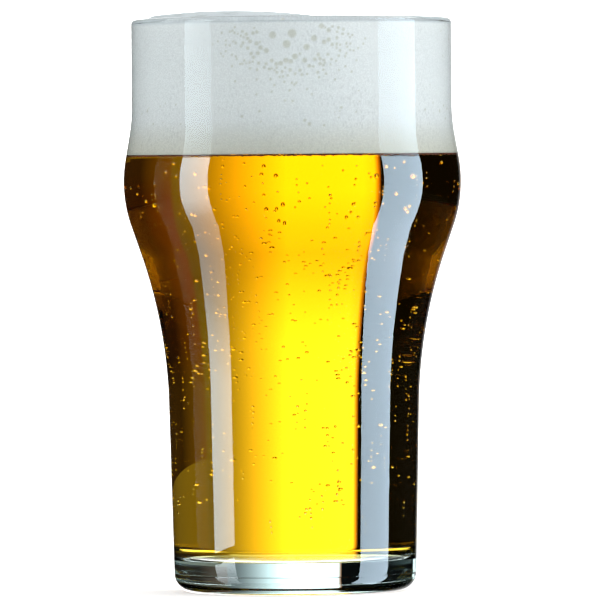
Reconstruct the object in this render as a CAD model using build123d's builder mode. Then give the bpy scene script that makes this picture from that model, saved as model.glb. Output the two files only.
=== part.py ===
from build123d import *
import os
from math import asin, cos, degrees, radians, sin, tan

# A full pint: a one-piece bulged beer tumbler, the beer in it and the head of foam on the beer.
# Millimetres, +Z up, origin on the table at the middle of the base.

# The tumbler's outside, from the table up. A lean is an angle from the vertical, outward if positive.
HEIGHT = 151.0
HEEL_BEND = 5.0  # rounding between the standing ring and the side
RING_OUTER = 27.0  # the flat ring that the tumbler stands on
RING_INNER = 25.0
PUNT_RISE = 1.6  # hollow of the underside, so that only the ring touches the table
CONE_LEAN = 1.4  # the nearly upright lower half
CONE_TOP = 50.0
FLARE_BEND = 130.0  # the hollow curve in which the side opens out
FLARE_LEAN = 19.0
BULGE_RADIUS = 44.6  # widest point of the swelling
BULGE_BEND = 36.0
SHOULDER_LEAN = -10.0  # where the swelling runs back into the neck
NECK_BEND = 45.0
NECK_RADIUS = 42.3  # upright wall below the rim

# The tumbler's inside, parallel to the outside
WALL = 2.5
LIP_BEND = WALL / 2  # the rim is one full round
FLOOR = 8.5  # thickness of the solid base
FLOOR_CORNER = 4.0

# The line that the mould leaves around the heel, a groove as deep as a scratch
SEAM_BEND = 0.3
SEAM_DEPTH = 0.08

# The drink
FOAM_LINE = 114.9  # where the beer ends and the foam begins
FOAM_LEVEL = 150.0  # top of the foam near the rim
FOAM_SHOULDER = 1.8  # rounding where the foam leaves the wall
MOUND_OFFSET = -13.5  # the foam is heaped a little towards -X
MOUND_BEND = 85.0
MOUND_RISE = 3.2

# Places that follow from the sizes above
HEEL_TURN = 90 - CONE_LEAN
SEAM_RADIUS = RING_OUTER + HEEL_BEND * cos(radians(CONE_LEAN))
SEAM_HEIGHT = HEEL_BEND * (1 - sin(radians(CONE_LEAN)))
PUNT_BEND = (RING_INNER**2 + PUNT_RISE**2) / (2 * PUNT_RISE)
PUNT_TURN = degrees(asin(RING_INNER / PUNT_BEND))
LIP_START = HEIGHT - LIP_BEND
BORE_RADIUS = NECK_RADIUS - WALL
MOUND_LATITUDE = degrees(asin(1 - MOUND_RISE / MOUND_BEND))


def cone_radius(height):
    """Outside radius of the lower half at a height."""
    return SEAM_RADIUS + (height - SEAM_HEIGHT) * tan(radians(CONE_LEAN))


def draw_side(inset, foot):
    """Draws the side at a distance inside the outer face, from a height on the cone to the lip."""
    lean = radians(CONE_LEAN)
    inward = Vector(-inset * cos(lean), inset * sin(lean))
    start = Vector(cone_radius(foot), foot) + inward
    cone = Line(start, Vector(cone_radius(CONE_TOP), CONE_TOP) + inward)
    flare = JernArc(cone @ 1, cone % 1, FLARE_BEND + inset, CONE_LEAN - FLARE_LEAN)

    bulge_centre = BULGE_RADIUS - BULGE_BEND
    slope_end = bulge_centre + (BULGE_BEND - inset) * cos(radians(FLARE_LEAN))
    slope_rise = (slope_end - (flare @ 1).X) / tan(radians(FLARE_LEAN))
    slope = Line(flare @ 1, (slope_end, (flare @ 1).Y + slope_rise))
    bulge = JernArc(slope @ 1, slope % 1, BULGE_BEND - inset, FLARE_LEAN - SHOULDER_LEAN)

    neck_centre = NECK_RADIUS + NECK_BEND
    shoulder_end = neck_centre - (NECK_BEND + inset) * cos(radians(SHOULDER_LEAN))
    shoulder_rise = (shoulder_end - (bulge @ 1).X) / tan(radians(SHOULDER_LEAN))
    shoulder = Line(bulge @ 1, (shoulder_end, (bulge @ 1).Y + shoulder_rise))
    neck = JernArc(shoulder @ 1, shoulder % 1, NECK_BEND + inset, SHOULDER_LEAN)
    Line(neck @ 1, (NECK_RADIUS - inset, LIP_START))
    return start


def draw_inside():
    """Draws the inside from the middle of the floor, round the corner and up to the lip."""
    lean = radians(CONE_LEAN)
    corner_top = FLOOR + FLOOR_CORNER * (1 - sin(lean))
    wall_foot = draw_side(WALL, corner_top - WALL * sin(lean))
    corner_start = (wall_foot.X - FLOOR_CORNER * cos(lean), FLOOR)
    JernArc(corner_start, (1, 0), FLOOR_CORNER, HEEL_TURN)
    Line((0, FLOOR), corner_start)


def draw_contents():
    """Draws half the outline of what fills the tumbler, from the floor to the top of the foam."""
    draw_inside()
    Line((BORE_RADIUS, LIP_START), (BORE_RADIUS, FOAM_LEVEL))
    Line((BORE_RADIUS, FOAM_LEVEL), (0, FOAM_LEVEL))
    Line((0, FOAM_LEVEL), (0, FLOOR))


# The tumbler: soda-lime glass pressed and blown in one piece, so nothing on it is joined or moves.
with BuildPart() as glass:
    with BuildSketch(Plane.XZ):
        with BuildLine():
            punt = JernArc((0, PUNT_RISE), (1, 0), PUNT_BEND, -PUNT_TURN)
            Line(punt @ 1, (RING_OUTER, 0))
            JernArc((RING_OUTER, 0), (1, 0), HEEL_BEND, HEEL_TURN)
            draw_side(0, SEAM_HEIGHT)
            JernArc((NECK_RADIUS, LIP_START), (0, 1), LIP_BEND, 180)
            draw_inside()
            Line((0, FLOOR), (0, PUNT_RISE))
        make_face()
    revolve(axis=Axis.Z)
    with BuildSketch(Plane.XZ):
        with Locations((SEAM_RADIUS + SEAM_BEND - SEAM_DEPTH, SEAM_HEIGHT)):
            Circle(SEAM_BEND)
    revolve(axis=Axis.Z, mode=Mode.SUBTRACT)

# The beer fills the tumbler from its floor to the foam, and meets the glass face to face.
with BuildPart() as beer:
    with BuildSketch(Plane.XZ):
        with BuildLine():
            draw_contents()
        make_face()
    revolve(axis=Axis.Z)
    split(bisect_by=Plane.XY.offset(FOAM_LINE), keep=Keep.BOTTOM)

# The head: fine foam from the beer to the rim, rounded off at the wall and heaped above the rim.
with BuildPart() as foam_head:
    with BuildSketch(Plane.XZ):
        with BuildLine():
            draw_contents()
        make_face()
    revolve(axis=Axis.Z)
    split(bisect_by=Plane.XY.offset(FOAM_LINE), keep=Keep.TOP)
    top_edge = foam_head.faces().sort_by(Axis.Z)[-1].edges().filter_by(GeomType.CIRCLE)
    fillet(top_edge, radius=FOAM_SHOULDER)
    with Locations((MOUND_OFFSET, 0, FOAM_LEVEL)):
        Sphere(MOUND_BEND, arc_size1=MOUND_LATITUDE, align=(Align.CENTER, Align.CENTER, Align.MIN))

os.makedirs("parts", exist_ok=True)
glass.part.label = "glass"
beer.part.label = "beer"
foam_head.part.label = "foam_head"
export_step(glass.part, "parts/glass.step")
export_step(beer.part, "parts/beer.step")
export_step(foam_head.part, "parts/foam_head.step")
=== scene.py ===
import math

import bmesh
import bpy
import numpy as np
from mathutils import Matrix, Vector
from mathutils.kdtree import KDTree


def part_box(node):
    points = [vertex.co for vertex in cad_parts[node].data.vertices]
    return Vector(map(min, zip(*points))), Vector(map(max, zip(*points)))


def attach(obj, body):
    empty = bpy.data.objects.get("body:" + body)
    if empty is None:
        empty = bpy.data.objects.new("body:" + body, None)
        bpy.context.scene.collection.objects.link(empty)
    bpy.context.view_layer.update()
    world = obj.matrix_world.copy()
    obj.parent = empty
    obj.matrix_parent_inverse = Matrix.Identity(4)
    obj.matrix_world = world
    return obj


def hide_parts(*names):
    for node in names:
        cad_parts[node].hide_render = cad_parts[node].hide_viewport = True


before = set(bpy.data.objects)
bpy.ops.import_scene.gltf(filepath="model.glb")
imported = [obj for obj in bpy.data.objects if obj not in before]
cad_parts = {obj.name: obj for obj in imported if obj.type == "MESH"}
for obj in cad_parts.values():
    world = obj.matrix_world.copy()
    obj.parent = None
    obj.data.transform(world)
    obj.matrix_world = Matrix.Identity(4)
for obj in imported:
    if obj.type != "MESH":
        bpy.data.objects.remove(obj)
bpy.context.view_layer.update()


# ---------------------------------------------------------------------------------- the tumbler
# One piece of soda-lime glass, pressed to a blank and then blown in an iron mould that gives it
# the swelling under the rim. The base is left thick, and the rim is melted round with a flame.

MM = 0.001
rim_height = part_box("glass")[1].z / MM
floor_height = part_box("beer")[0].z / MM
foam_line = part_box("beer")[1].z / MM

heel_bend = 5.0
ring_outer = 27.0
ring_inner = 25.0
ring_margin = 0.3
punt_rise = 1.6
cone_lean = math.radians(1.4)
cone_top = 50.0
flare_bend = 130.0
flare_lean = math.radians(19.0)
bulge_radius = 44.6
bulge_bend = 36.0
shoulder_lean = math.radians(-10.0)
neck_bend = 45.0
neck_radius = 42.3
wall = 2.5
lip_bend = wall / 2
floor_corner = 4.0
seam_half = 0.24
seam_depth = 0.08

heel_radius = ring_outer + heel_bend * math.cos(cone_lean)
heel_height = heel_bend * (1 - math.sin(cone_lean))
lip_start = rim_height - lip_bend


def cone_radius(height):
    """Outside radius of the nearly upright lower half, at a height."""
    return heel_radius + (height - heel_height) * math.tan(cone_lean)


# The straight stretches between the mould's round ones are as long on the inside as outside.
flare_end = cone_radius(cone_top) + flare_bend * (math.cos(cone_lean) - math.cos(flare_lean))
slope_end = bulge_radius - bulge_bend * (1 - math.cos(flare_lean))
slope_length = (slope_end - flare_end) / math.sin(flare_lean)
bulge_end = bulge_radius - bulge_bend * (1 - math.cos(shoulder_lean))
shoulder_end = neck_radius + neck_bend * (1 - math.cos(shoulder_lean))
shoulder_length = (shoulder_end - bulge_end) / math.sin(shoulder_lean)


def follow(start, heading, moves, step=0.6):
    """Points of an outline that leaves start and makes each move: run on, or bend round to the left."""
    points = [start]
    for kind, *sizes in moves:
        r, z = points[-1]
        if kind == "run":
            count = max(1, round(sizes[0] / 3))
            for n in range(1, count + 1):
                along = sizes[0] * n / count
                points.append((r + along * math.cos(heading), z + along * math.sin(heading)))
            continue
        bend, turn = sizes
        side = math.copysign(1, turn)
        centre_r = r - side * bend * math.sin(heading)
        centre_z = z + side * bend * math.cos(heading)
        count = max(3, round(abs(turn) * bend / step), round(abs(turn) / math.radians(8)))
        for n in range(1, count + 1):
            at = heading + turn * n / count
            points.append((centre_r + side * bend * math.sin(at), centre_z - side * bend * math.cos(at)))
        heading += turn
    return points


def side_outline(inset, foot):
    """The side at a distance inside the outer face, from a height on the cone up to the lip."""
    start_r = cone_radius(foot) - inset * math.cos(cone_lean)
    start_z = foot + inset * math.sin(cone_lean)
    upright = math.pi / 2
    points = follow(
        (start_r, start_z),
        upright - cone_lean,
        [
            ("run", (cone_top - foot) / math.cos(cone_lean)),
            ("bend", flare_bend + inset, cone_lean - flare_lean),
            ("run", slope_length),
            ("bend", bulge_bend - inset, flare_lean - shoulder_lean),
            ("run", shoulder_length),
            ("bend", neck_bend + inset, shoulder_lean),
        ],
    )
    last_r, last_z = points[-1]
    return points[:-1] + follow((last_r, last_z), upright, [("run", lip_start - last_z)])


def inside_outline(inset, lift=0.0):
    """The inside, from the middle of the floor round its corner and up to the lip."""
    corner_top = floor_height + floor_corner * (1 - math.sin(cone_lean))
    side = side_outline(inset, corner_top - wall * math.sin(cone_lean))
    grow = wall - inset
    bend = floor_corner + grow
    corner_r = side[0][0] - bend * math.cos(cone_lean)
    low = floor_height - grow + lift
    floor = follow((0, low), 0, [("run", corner_r), ("bend", bend, math.pi / 2 - cone_lean)])
    return floor[:-1] + side


def lathe(name, outline, steps):
    """Turns an outline of (radius, height) in millimetres, from axis to axis, into a closed mesh."""
    ring = np.linspace(0, 2 * np.pi, steps, endpoint=False)
    body = [p for p in outline if p[0] > 1e-6]
    points = [(r * np.cos(ring), r * np.sin(ring), np.full(steps, z)) for r, z in body]
    verts = np.concatenate([np.stack(p, 1) for p in points]) * MM
    ends = [(0, 0, outline[0][1] * MM), (0, 0, outline[-1][1] * MM)]
    verts = np.concatenate([verts, ends])
    n = np.arange(steps)
    after = (n + 1) % steps
    quads = [
        np.stack([k * steps + n, k * steps + after, (k + 1) * steps + after, (k + 1) * steps + n], 1)
        for k in range(len(body) - 1)
    ]
    first, last = len(verts) - 2, len(verts) - 1
    top = (len(body) - 1) * steps
    faces = [(first, int(b), int(a)) for a, b in zip(n, after)]
    faces += np.concatenate(quads).tolist()
    faces += [(last, top + int(a), top + int(b)) for a, b in zip(n, after)]
    return piece_from(name, verts, faces)


def piece_from(name, verts, faces):
    """A smooth-shaded piece from its points, in metres, and its faces."""
    mesh = bpy.data.meshes.new(name)
    mesh.from_pydata(np.asarray(verts).tolist(), [], faces)
    mesh.shade_smooth()
    mesh.update()
    piece = bpy.data.objects.new(name, mesh)
    bpy.context.scene.collection.objects.link(piece)
    return piece


def new_material(name):
    """A material with only its output node, and the function that adds a node to it."""
    material = bpy.data.materials.new(name)
    material.use_nodes = True
    tree = material.node_tree
    tree.nodes.clear()
    tree.nodes.new("ShaderNodeOutputMaterial")

    def add(kind, _inputs=None, **settings):
        node = tree.nodes.new(kind)
        for key, value in settings.items():
            setattr(node, key, value)
        for key, value in (_inputs or {}).items():
            if isinstance(value, bpy.types.NodeSocket):
                tree.links.new(value, node.inputs[key])
            else:
                node.inputs[key].default_value = value
        return node

    return material, add


def finish_plain(material, body, soak=None):
    """Joins a surface, and what soaks up light inside it, to the material's output."""
    output = material.node_tree.nodes["Material Output"]
    material.node_tree.links.new(body.outputs[0], output.inputs["Surface"])
    if soak is not None:
        material.node_tree.links.new(soak.outputs[0], output.inputs["Volume"])


glass_steps = 256
punt_bend = (ring_inner**2 + punt_rise**2) / (2 * punt_rise)
outside = follow((0, punt_rise), 0, [("bend", punt_bend, -math.asin(ring_inner / punt_bend))], step=2.0)
outside += [(ring_inner + ring_margin, 0), (ring_outer - ring_margin, 0)]
outside += follow((ring_outer, 0), 0, [("bend", heel_bend, math.pi / 2 - cone_lean)], step=0.3)[:-1]
for n in range(-2, 3):
    height = heel_height + seam_half * n / 2
    outside.append((cone_radius(height) - seam_depth * math.cos(math.pi * n / 4) ** 2, height))
outside += side_outline(0, heel_height + seam_half)[1:]
outside += follow((neck_radius, lip_start), math.pi / 2, [("bend", lip_bend, math.pi)], step=0.15)[1:]
inside = inside_outline(wall)
glass = lathe("tumbler", outside + inside[::-1][1:], glass_steps)

# The skin shines on the outside, less where white froth lies behind it. Inside, drink wets it.
full_shine = 1.0
veiled_shine = 0.14
lip_band = 1.0
shine = glass.data.attributes.new("shine", "FLOAT", "FACE")
for face in glass.data.polygons:
    height = face.center.z / MM
    outer = face.normal.dot(Vector((face.center.x, face.center.y, 0))) > 0
    floor_face = face.normal.z > 0.3 and height < 2 * floor_height
    skin = outer and not floor_face
    if height < floor_height or skin and height < foam_line:
        shine.data[face.index].value = full_shine
    elif skin or height > rim_height - lip_band:
        shine.data[face.index].value = veiled_shine

# Clear glass, green-blue where it is deep, and a skin with faint draw lines.
clear_glass, add = new_material("soda_lime_glass")
place = add("ShaderNodeTexCoord").outputs["Object"]
stretch = add("ShaderNodeMapping", {"Vector": place, "Scale": (30, 30, 11)})
waves = add("ShaderNodeTexNoise", {"Vector": stretch.outputs[0], "Scale": 1.6, "Detail": 2.0})
bump = add("ShaderNodeBump", {"Height": waves.outputs["Fac"], "Strength": 0.05, "Distance": 0.0002})
shine = add("ShaderNodeAttribute", attribute_name="shine").outputs["Fac"]
back = add("ShaderNodeNewGeometry").outputs["Backfacing"]
shine = add("ShaderNodeMath", {0: shine, 1: back}, operation="SUBTRACT", use_clamp=True)
body = add(
    "ShaderNodeBsdfPrincipled",
    {
        "Base Color": (1, 1, 1, 1),
        "Roughness": 0.0,
        "IOR": 1.52,
        "Transmission Weight": 1.0,
        "Specular Tint": shine.outputs[0],
        "Normal": bump.outputs[0],
    },
)
soak = add("ShaderNodeVolumeAbsorption", {"Color": (0.22, 0.76, 0.78, 1), "Density": 9.0})
finish_plain(clear_glass, body, soak)
glass.data.materials.append(clear_glass)
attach(glass, "root")
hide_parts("glass")


# ------------------------------------------------------------------------------------- the beer
# Golden lager poured to three quarters of the tumbler's height. It wets the glass, so no air lies
# between them, and its depth takes out the blue and most of the green of the light behind it.

wetting = 0.1
beer_top = foam_line + 0.05
beer_index = 1.345
beer_outline = [p for p in inside_outline(wall - wetting) if p[1] < foam_line]
beer_outline += [(beer_outline[-1][0], beer_top), (0, beer_top)]
beer = lathe("beer_fill", beer_outline, glass_steps)

beer_liquid, add = new_material("lager")
place = add("ShaderNodeTexCoord").outputs["Object"]
swirl = add("ShaderNodeTexNoise", {"Vector": place, "Scale": 60.0, "Detail": 3.0})
ripple = add("ShaderNodeBump", {"Height": swirl.outputs["Fac"], "Strength": 0.03, "Distance": 0.0001})
body = add(
    "ShaderNodeBsdfPrincipled",
    {
        "Base Color": (1, 1, 1, 1),
        "Roughness": 0.0,
        "IOR": beer_index,
        "Transmission Weight": 1.0,
        "Specular Tint": (0, 0, 0, 1),
        "Normal": ripple.outputs[0],
    },
)
soak = add("ShaderNodeVolumeAbsorption", {"Color": (0.994, 0.86, 0.03, 1), "Density": 84.0})
finish_plain(beer_liquid, body, soak)
beer.data.materials.append(beer_liquid)
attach(beer, "root")
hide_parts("beer")


# ---------------------------------------------------------------------------------- the bubbles
# Carbon dioxide leaves the beer as small round bubbles. Some rise freely, some cling to the wall
# in strings that grow on their way up, and the risen ones crowd in a ring under the foam.

inside_r = np.array([p[0] for p in inside])
inside_z = np.array([p[1] for p in inside])
on_wall = inside_z > floor_height + floor_corner * 0.9
smallest = 0.20
rng = np.random.default_rng(7)


def wall_radius(height):
    """Inside radius of the tumbler at a height above the rounded corner of its floor."""
    return np.interp(height, inside_z[on_wall], inside_r[on_wall])


def bubble_mesh(name, places, finish, hollow=False):
    """One piece of many small spheres, from rows of x, y, z and radius in millimetres."""
    ball = bmesh.new()
    bmesh.ops.create_icosphere(ball, subdivisions=2, radius=1.0)
    corners = np.array([v.co for v in ball.verts])
    tris = np.array([[v.index for v in f.verts] for f in ball.faces])
    ball.free()
    if hollow:
        tris = tris[:, ::-1]
    verts = [np.array(place[:3]) + place[3] * corners for place in places]
    faces = [tris + n * len(corners) for n in range(len(places))]
    bubbles = piece_from(name, np.concatenate(verts) * MM, np.concatenate(faces).tolist())
    bubbles.data.materials.append(finish)
    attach(bubbles, "root")
    return bubbles


# A bubble is a hole in the beer: its faces look inwards, and its skin is the beer's own.
bubble_skin, add = new_material("bubble_skin")
body = add(
    "ShaderNodeBsdfPrincipled",
    {"Base Color": (1, 1, 1, 1), "Roughness": 0.0, "IOR": beer_index, "Transmission Weight": 1.0},
)
finish_plain(bubble_skin, body)

# Free bubbles, more of them higher up.
free_count = 420
free_low, free_span = 16, 96
free_growth = 0.22
clear_of_wall = 1.2
free = []
for _ in range(free_count):
    height = free_low + free_span * rng.random() ** 0.6
    radius = smallest + free_growth * rng.random() ** 2
    reach = (wall_radius(height) - clear_of_wall) * math.sqrt(rng.random())
    turn = rng.uniform(0, 2 * math.pi)
    free.append((reach * math.cos(turn), reach * math.sin(turn), height, radius))
bubble_mesh("rising_bubbles", free, bubble_skin, hollow=True)

# Bubbles on the wall, alone or in strings.
string_count = 150
string_low, string_high = 14, 106
longest_string = 5
closest, furthest = 0.9, 2.6
sway = 0.006
clinging_growth = 0.18
swell = 0.01
off_wall = 0.16
clinging = []
for _ in range(string_count):
    turn = rng.uniform(0, 2 * math.pi)
    height = rng.uniform(string_low, string_high)
    for n in range(rng.integers(1, longest_string + 1)):
        height += rng.uniform(closest, furthest)
        turn += rng.normal(0, sway)
        radius = smallest + clinging_growth * rng.random() ** 2 + swell * n
        if height < foam_line - 2:
            reach = wall_radius(height) - radius - off_wall
            clinging.append((reach * math.cos(turn), reach * math.sin(turn), height, radius))
bubble_mesh("clinging_bubbles", clinging, bubble_skin, hollow=True)

# The ring of froth where the head meets the beer, painted opaque dark red as painted shade: it stands in
# for the dark line that the packed bubbles there make against the light.
froth_ring_painted_shade, add = new_material("froth_ring_painted_shade")
place = add("ShaderNodeTexCoord").outputs["Object"]
blots = add("ShaderNodeTexNoise", {"Vector": place, "Scale": 700.0, "Detail": 2.0})
tint = add(
    "ShaderNodeMix",
    {0: blots.outputs["Fac"], 6: (0.05, 0.012, 0.004, 1), 7: (0.26, 0.05, 0.01, 1)},
    data_type="RGBA",
)
body = add("ShaderNodeBsdfPrincipled", {"Base Color": tint.outputs[2], "Roughness": 0.4})
finish_plain(froth_ring_painted_shade, body)
froth_size = 0.16
froth_drop = 0.28
froth_jitter = 0.1
froth_bite = 0.02
froth_pitch = 1.3
crowd = []
turn = 0.0
while turn < 2 * math.pi:
    radius = froth_size + froth_size * rng.random()
    height = foam_line - froth_drop + rng.uniform(-froth_jitter, froth_jitter)
    reach = wall_radius(height) - radius + froth_bite
    crowd.append((reach * math.cos(turn), reach * math.sin(turn), height, radius))
    turn += froth_pitch * radius / reach
bubble_mesh("froth_edge", crowd, froth_ring_painted_shade)


# ------------------------------------------------------------------------------------- the head
# White froth, fine at the bottom and coarser on top, pressed against the glass and heaped a
# little above the rim. Each larger bubble that meets the glass leaves a round window in it.

foam_steps = 900
foam_row = 0.28
foam_grip = 0.06
foam_level = 150.0
foam_shoulder = 0.4
shoulder_width = 4.0
mound_x = -16.0
mound_reach = 32.0
mound_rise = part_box("foam_head")[1].z / MM - foam_level
foam_r = neck_radius - wall + foam_grip
top_rings = 110


def foam_top(x, y):
    """Height of the top of the head, before its bubbles."""
    away = np.hypot(x - mound_x, y) / mound_reach
    heap = mound_rise * np.clip(1 - away**2, 0, 1) ** 0.9
    edge = np.clip((np.hypot(x, y) - (foam_r - shoulder_width)) / shoulder_width, 0, 1)
    fall = foam_shoulder * (1 - np.sqrt(1 - edge**2 * 0.98))
    return foam_level + heap * (1 - edge**2) - fall


turn = np.linspace(0, 2 * np.pi, foam_steps, endpoint=False)
across, up = np.cos(turn), np.sin(turn)
rings = []
for z in np.arange(foam_line, foam_level - foam_shoulder, foam_row):
    r = wall_radius(z) + foam_grip
    rings.append(np.stack([r * across, r * up, np.full(foam_steps, z)], 1))
side_count = len(rings) * foam_steps
for r in foam_r * (1 - np.linspace(0, 0.995, top_rings)):
    rings.append(np.stack([r * across, r * up, foam_top(r * across, r * up)], 1))
verts = np.concatenate(rings)
last_ring = (len(rings) - 1) * foam_steps

# Larger bubbles, crowded in patches near the top of the side. A patch is a heading and a spread,
# in degrees, and a count. Each bubble is a place on the foam and a radius.
patches = [(-90, 10, 1000), (22, 12, 500), (97, 9, 500), (160, 10, 500)]
patch_height = 146.0
patch_depth = 5.0
patch_jitter = 2.5
least_window = 0.3
centres = []
for heading, spread, count in patches:
    for _ in range(count):
        off, down = rng.normal(0, 1), abs(rng.normal(0, 1))
        at = math.radians(heading + spread * off)
        z = patch_height - patch_depth * down + rng.uniform(0, patch_jitter)
        growth = 0.85 * math.exp(-0.5 * (off**2 + 0.7 * down**2))
        size = least_window + growth * rng.random() ** 1.3
        centres.append((foam_r * math.cos(at), foam_r * math.sin(at), z, size))

# Small ones lower down, and more of both scattered over the top.
low_count, low_height, low_spread = 90, 125.5, 3.0
for _ in range(low_count):
    at = rng.uniform(0, 2 * math.pi)
    z = rng.normal(low_height, low_spread)
    r = wall_radius(z)
    size = 0.22 + 0.3 * rng.random() ** 3
    centres.append((r * math.cos(at), r * math.sin(at), z, size))
top_count, clear_of_lip = 420, 1.5
for _ in range(top_count):
    at = rng.uniform(0, 2 * math.pi)
    r = (foam_r - clear_of_lip) * math.sqrt(rng.random())
    x, y = r * math.cos(at), r * math.sin(at)
    size = least_window + 1.1 * rng.random() ** 3
    centres.append((x, y, float(foam_top(x, y)), size))


def search_tree(places):
    """A tree that finds which of many places lie near one."""
    tree = KDTree(len(places))
    for n, place in enumerate(places):
        tree.insert(place[:3], n)
    tree.balance()
    return tree


def crowded_out(n):
    """Whether bubble n would overlap a larger one."""
    size = centres[n][3]
    for _, m, gap in taken.find_range(centres[n][:3], widest_gap):
        rival = centres[m][3]
        if m != n and rival >= size and gap < closeness * (size + rival):
            return True
    return False


# Each bubble that isn't crowded out leaves a round window with a soft edge, and a shallow dent. The
# window also carries painted shade, set in the foam's material.
widest_gap = 1.9
closeness = 0.96
window_reach, window_softness = 1.15, 0.4
side_dent = 0.04
top_dent = 8 * side_dent
skin_points = search_tree(verts)
taken = search_tree(centres)
window = np.zeros(len(verts))
for n, (x, y, z, size) in enumerate(centres):
    if crowded_out(n):
        continue
    for _, m, gap in skin_points.find_range((x, y, z), size * window_reach):
        depth = (window_reach - gap / size) / window_softness
        window[m] = max(window[m], min(depth, 1.0))
on_side = np.arange(len(verts)) < side_count
inward = side_dent * window[on_side] / np.hypot(*verts[on_side, :2].T)
verts[on_side, :2] *= (1 - inward)[:, None]
verts[~on_side, 2] -= top_dent * window[~on_side]

n = np.arange(foam_steps)
after = (n + 1) % foam_steps
faces = []
for start in range(0, last_ring, foam_steps):
    low, high = start, start + foam_steps
    faces += np.stack([low + n, low + after, high + after, high + n], 1).tolist()
verts = np.concatenate([verts, [(0, 0, foam_line), (0, 0, foam_top(0.0, 0.0))]])
bottom, top = len(verts) - 2, len(verts) - 1
faces += [(bottom, int(b), int(a)) for a, b in zip(n, after)]
faces += [(top, last_ring + int(a), last_ring + int(b)) for a, b in zip(n, after)]
head = piece_from("froth", verts * MM, faces)
windows = head.data.attributes.new("window", "FLOAT", "POINT")
windows.data.foreach_set("value", np.concatenate([window, [0, 0]]).astype(np.float32))

foam_finish, add = new_material("fine_foam")
place = add("ShaderNodeTexCoord").outputs["Object"]
height = add("ShaderNodeSeparateXYZ", {0: place}).outputs["Z"]
squeeze = add("ShaderNodeMapping", {"Vector": place, "Scale": (1, 1, 0.6)}).outputs[0]
cells = add("ShaderNodeTexVoronoi", {"Vector": squeeze, "Scale": 1300.0})
grains = add("ShaderNodeTexVoronoi", {"Vector": place, "Scale": 2300.0})
cloud = add("ShaderNodeTexNoise", {"Vector": place, "Scale": 45.0, "Detail": 4.0})
patch = add("ShaderNodeTexNoise", {"Vector": place, "Scale": 70.0, "Detail": 1.0})
coarse = add("ShaderNodeMapRange", {"Value": patch.outputs["Fac"], "From Min": 0.35, "From Max": 0.62})
cell_dark = add(
    "ShaderNodeMapRange",
    {"Value": cells.outputs["Distance"], "From Min": 0.1, "From Max": 0.5, "To Min": 0.88, "To Max": 1.0},
)
cell_shade = add("ShaderNodeMix", {0: coarse.outputs[0], 2: 1.0, 3: cell_dark.outputs[0]})
grain_shade = add(
    "ShaderNodeMapRange",
    {"Value": grains.outputs["Distance"], "From Max": 0.6, "To Min": 1.04, "To Max": 0.90},
)
shade = add("ShaderNodeMath", {0: cell_shade.outputs[0], 1: grain_shade.outputs[0]}, operation="MULTIPLY")
tone = add(
    "ShaderNodeMix",
    {0: cloud.outputs["Fac"], 6: (0.82, 0.85, 0.855, 1), 7: (0.90, 0.92, 0.92, 1)},
    data_type="RGBA",
)
soaked = add("ShaderNodeMapRange", {"Value": height, "From Min": 0.124, "From Max": 0.1145})
tone = add(
    "ShaderNodeMix",
    {0: soaked.outputs[0], 6: tone.outputs[2], 7: (0.70, 0.70, 0.60, 1)},
    data_type="RGBA",
)
# Painted shade: the top of the head, above the rim, is painted a darker blue-grey, so it comes out grey
# under the bright light from overhead.
top_painted_shade = add("ShaderNodeMapRange", {"Value": height, "From Min": 0.1490, "From Max": 0.1500})
tone = add(
    "ShaderNodeMix",
    {0: top_painted_shade.outputs[0], 6: tone.outputs[2], 7: (0.57, 0.64, 0.67, 1)},
    data_type="RGBA",
)
dim = add(
    "ShaderNodeMix",
    {0: 1.0, 6: tone.outputs[2], 7: shade.outputs[0]},
    data_type="RGBA",
    blend_type="MULTIPLY",
)
# Painted shade: each window is painted a darker beige-grey, standing in for the shade inside the bubble
# behind the glass.
window_painted_shade = add("ShaderNodeAttribute", attribute_name="window").outputs["Fac"]
paint = add(
    "ShaderNodeMix",
    {0: window_painted_shade, 6: dim.outputs[2], 7: (0.80, 0.79, 0.72, 1)},
    data_type="RGBA",
    blend_type="MULTIPLY",
)
lumps = add(
    "ShaderNodeMath",
    {0: cells.outputs["Distance"], 1: grains.outputs["Distance"]},
    operation="ADD",
)
bump = add("ShaderNodeBump", {"Height": lumps.outputs[0], "Strength": 0.35, "Distance": 0.0002})
body = add(
    "ShaderNodeBsdfPrincipled",
    {"Base Color": paint.outputs[2], "Roughness": 0.5, "Normal": bump.outputs[0]},
)
finish_plain(foam_finish, body)
head.data.materials.append(foam_finish)
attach(head, "root")
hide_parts("foam_head")


# ------------------------------------------------------------------------------------ the stage
# A pale floor in a white studio. Behind the glass stands a lit screen that fades to one side, with
# dark boards beside it and in front, and a tall soft box on each side gives the glass its shine.


def stand(name, verts, faces, finish):
    """A sheet of the set that the camera doesn't see."""
    mesh = bpy.data.meshes.new(name)
    mesh.from_pydata(verts, [], faces)
    mesh.materials.append(finish)
    sheet = bpy.data.objects.new(name, mesh)
    bpy.context.scene.collection.objects.link(sheet)
    sheet.visible_camera = False
    sheet.visible_diffuse = False
    sheet.visible_shadow = False
    return sheet


def round_floor(name, finish):
    """A flat round sheet that faces up, under the glass."""
    count, radius = 96, 1.2
    ring = [2 * math.pi * n / count for n in range(count)]
    verts = [(radius * math.cos(a), radius * math.sin(a), 0) for a in ring]
    return stand(name, verts, [tuple(range(count))], finish)


floor_paint, add = new_material("pale_floor")
body = add(
    "ShaderNodeBsdfPrincipled",
    {
        "Base Color": (0.86, 0.86, 0.86, 1),
        "Roughness": 0.7,
        "Specular IOR Level": 0.0,
        "Emission Color": (1, 1, 1, 1),
        "Emission Strength": 0.4,
    },
)
finish_plain(floor_paint, body)
floor = round_floor("floor", floor_paint)
floor.visible_camera = True
floor.visible_diffuse = True
floor.visible_shadow = True
floor.visible_glossy = False
floor.visible_transmission = False


def around(azimuth, distance, height):
    """A place round the glass. Azimuth 0 is in front of it and 90 to its right."""
    a = math.radians(azimuth)
    return Vector((distance * math.sin(a), -distance * math.cos(a), height))


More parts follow.
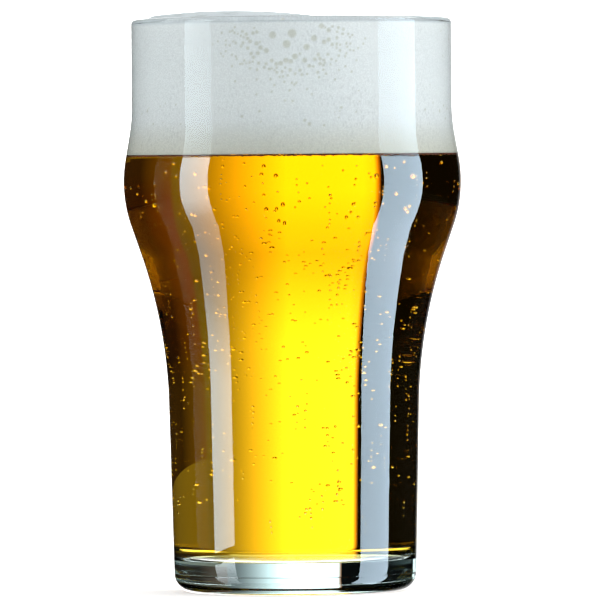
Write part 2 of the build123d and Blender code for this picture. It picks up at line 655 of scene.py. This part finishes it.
def board(name, start, end, finish, distance=0.7, low=-0.4, high=0.5):
    """A curved board that stands round the glass between two azimuths."""
    count = 16
    rim = [start + (end - start) * n / count for n in range(count + 1)]
    verts = [around(a, distance, low) for a in rim] + [around(a, distance, high) for a in rim]
    faces = [(n, n + 1, n + count + 2, n + count + 1) for n in range(count)]
    return stand(name, verts, faces, finish)


def glow(name, colour, strength):
    """A material that only shines."""
    material, add = new_material(name)
    body = add("ShaderNodeEmission", {"Color": colour, "Strength": strength})
    finish_plain(material, body)
    return material


# The screen is brightest left of its middle, dimmer towards the top and amber at its left end.
screen_paint, add = new_material("lit_screen")
place = add("ShaderNodeTexCoord").outputs["Object"]
across = add("ShaderNodeSeparateXYZ", {0: place})
fade = add("ShaderNodeMapRange", {"Value": across.outputs["X"], "From Min": 0.27, "From Max": 0.01})
fade = add("ShaderNodeMath", {0: fade.outputs[0], 1: 2.0}, operation="POWER")
level = add("ShaderNodeMath", {0: fade.outputs[0], 1: 2.3, 2: 0.18}, operation="MULTIPLY_ADD")
edge = add(
    "ShaderNodeMapRange",
    {"Value": across.outputs["X"], "From Min": -0.134, "From Max": -0.197, "To Min": 1.0, "To Max": 0.6},
)
rise = add(
    "ShaderNodeMapRange",
    {"Value": across.outputs["Z"], "From Min": 0.13, "From Max": 0.27, "To Min": 1.0, "To Max": 0.65},
)
level = add("ShaderNodeMath", {0: level.outputs[0], 1: edge.outputs[0]}, operation="MULTIPLY")
level = add("ShaderNodeMath", {0: level.outputs[0], 1: rise.outputs[0]}, operation="MULTIPLY")
brink = add("ShaderNodeMapRange", {"Value": across.outputs["X"], "From Min": -0.161, "From Max": -0.174})
shaded = add("ShaderNodeMath", {0: brink.outputs[0], 1: -0.8, 2: 1.0}, operation="MULTIPLY_ADD")
level = add("ShaderNodeMath", {0: level.outputs[0], 1: shaded.outputs[0]}, operation="MULTIPLY")
amber = add(
    "ShaderNodeMix",
    {0: brink.outputs[0], 6: (1, 1, 1, 1), 7: (1.0, 0.45, 0.25, 1)},
    data_type="RGBA",
)
body = add("ShaderNodeEmission", {"Color": amber.outputs[2], "Strength": level.outputs[0]})
finish_plain(screen_paint, body)
screen_start, screen_end = 157, 194.5
board("screen", screen_start, screen_end, screen_paint)

# Dim boards on the screen's right, redder above, and a lighter band in them. A black board on its
# left, and a black one and a brown one in front. The glass shows most of them only through itself.
dim_paint, add = new_material("dim_board")
place = add("ShaderNodeTexCoord").outputs["Object"]
across = add("ShaderNodeSeparateXYZ", {0: place})
level = add(
    "ShaderNodeMapRange",
    {"Value": across.outputs["X"], "From Min": 0.28, "From Max": 0.44, "To Min": 0.17, "To Max": 0.03},
)
redder = add("ShaderNodeMapRange", {"Value": across.outputs["Z"], "From Min": 0.08, "From Max": 0.16})
warm = add(
    "ShaderNodeMix",
    {0: redder.outputs[0], 6: (1.0, 0.68, 0.5, 1), 7: (0.9, 0.42, 0.3, 1)},
    data_type="RGBA",
)
body = add("ShaderNodeEmission", {"Color": warm.outputs[2], "Strength": level.outputs[0]})
finish_plain(dim_paint, body)
band_paint = glow("pale_band", (1.0, 0.9, 0.7, 1), 0.22)
black = glow("black_board", (1, 1, 1, 1), 0.004)
brown = glow("brown_board", (1.0, 0.8, 0.6, 1), 0.14)

right_start = 85
band_low, band_high = -0.06, 0.03
boards_low, boards_high = -0.2, 0.9
front_near, front_far, front_high = 30, 56, 0.7
unmirrored = [
    board("board_right", right_start, screen_start, dim_paint, low=band_high, high=boards_high),
    board("board_right_low", right_start, screen_start, band_paint, low=band_low, high=band_high),
    board("board_right_foot", right_start, screen_start, dim_paint, low=boards_low, high=band_low),
    board("board_front_left", -front_far, -front_near, black, low=band_low, high=front_high),
    board("board_front_right", front_near, front_far, brown, low=band_low, high=front_high),
]
for sheet in unmirrored:
    sheet.visible_glossy = False
board("board_left", screen_end, 250, black, low=boards_low, high=boards_high)


def soft_box(name, start, end, low, high, colour, below, above, distance=0.6):
    """A tall soft box whose glow changes evenly from its lower end to its upper one."""
    material, add = new_material(name)
    place = add("ShaderNodeTexCoord").outputs["Object"]
    height = add("ShaderNodeSeparateXYZ", {0: place}).outputs["Z"]
    sizes = {"Value": height, "From Min": low, "From Max": high, "To Min": below, "To Max": above}
    level = add("ShaderNodeMapRange", sizes)
    body = add("ShaderNodeEmission", {"Color": colour, "Strength": level.outputs[0]})
    finish_plain(material, body)
    box = board(name, start, end, material, distance, low, high)
    box.visible_transmission = False


# The left box is in three lengths, the lower two set back and dimmer. The right one is even.
cool, cold = (0.82, 0.95, 1.0, 1), (0.70, 0.90, 1.06, 1)
box_low, box_high, box_joint, set_back = -0.5, 0.6, -0.18, 0.652
left_far, left_near = -80, -57.5
soft_box("soft_box_left", left_far, left_near, -0.033, box_high, cool, 9.4, 15.0)
soft_box("soft_box_left_low", left_far, left_near, box_joint, -0.0412, cool, 4.6, 9.0, set_back)
soft_box("soft_box_left_foot", left_far, left_near, box_low, box_joint, cool, 2.2, 4.6, set_back)
soft_box("soft_box_right", 63, 97, box_low, box_high, cold, 11.0, 11.0)

world = bpy.data.worlds.new("studio")
bpy.context.scene.world = world
world.use_nodes = True
nodes, links = world.node_tree.nodes, world.node_tree.links
toward = nodes.new("ShaderNodeSeparateXYZ")
links.new(nodes.new("ShaderNodeTexCoord").outputs["Generated"], toward.inputs[0])


def step(operation, *values):
    """A sum in the studio's light, of values or of other nodes' outputs."""
    node = nodes.new("ShaderNodeMath")
    node.operation = operation
    for n, value in enumerate(values):
        if isinstance(value, bpy.types.NodeSocket):
            links.new(value, node.inputs[n])
        else:
            node.inputs[n].default_value = value
    return node.outputs[0]


# The studio is brighter at both sides, on the right and behind, and dimmer overhead.
even, at_sides, on_right, behind, overhead, faintest = 2.25, 1.9, 1.15, 0.9, -2.2, 0.05
sides = step("MULTIPLY", toward.outputs["X"], toward.outputs["X"])
level = step("MULTIPLY_ADD", sides, at_sides, even)
level = step("MULTIPLY_ADD", toward.outputs["X"], on_right, level)
level = step("MULTIPLY_ADD", toward.outputs["Y"], behind, level)
level = step("MULTIPLY_ADD", step("MAXIMUM", toward.outputs["Z"], 0.0), overhead, level)
level = step("MAXIMUM", level, faintest)
links.new(level, nodes["Background"].inputs["Strength"])
nodes["Background"].inputs["Color"].default_value = (1, 1, 1, 1)
world.cycles_visibility.glossy = False

# The camera stands a little above the middle of the glass, with a long lens.
eye = Vector((0.0018, -2.3, 0.1005))
aim = Vector((0.0018, 0.0, 0.0768))
lean = Matrix.Rotation(math.radians(-0.45), 3, "Z").to_quaternion()
camera = bpy.data.objects.new("camera", bpy.data.cameras.new("camera"))
camera.data.lens = 523
camera.data.sensor_width = 36
camera.location = eye
camera.rotation_mode = "QUATERNION"
camera.rotation_quaternion = (aim - eye).to_track_quat("-Z", "Y") @ lean
bpy.context.scene.collection.objects.link(camera)
bpy.context.scene.camera = camera
bpy.context.scene.view_settings.view_transform = "Standard"
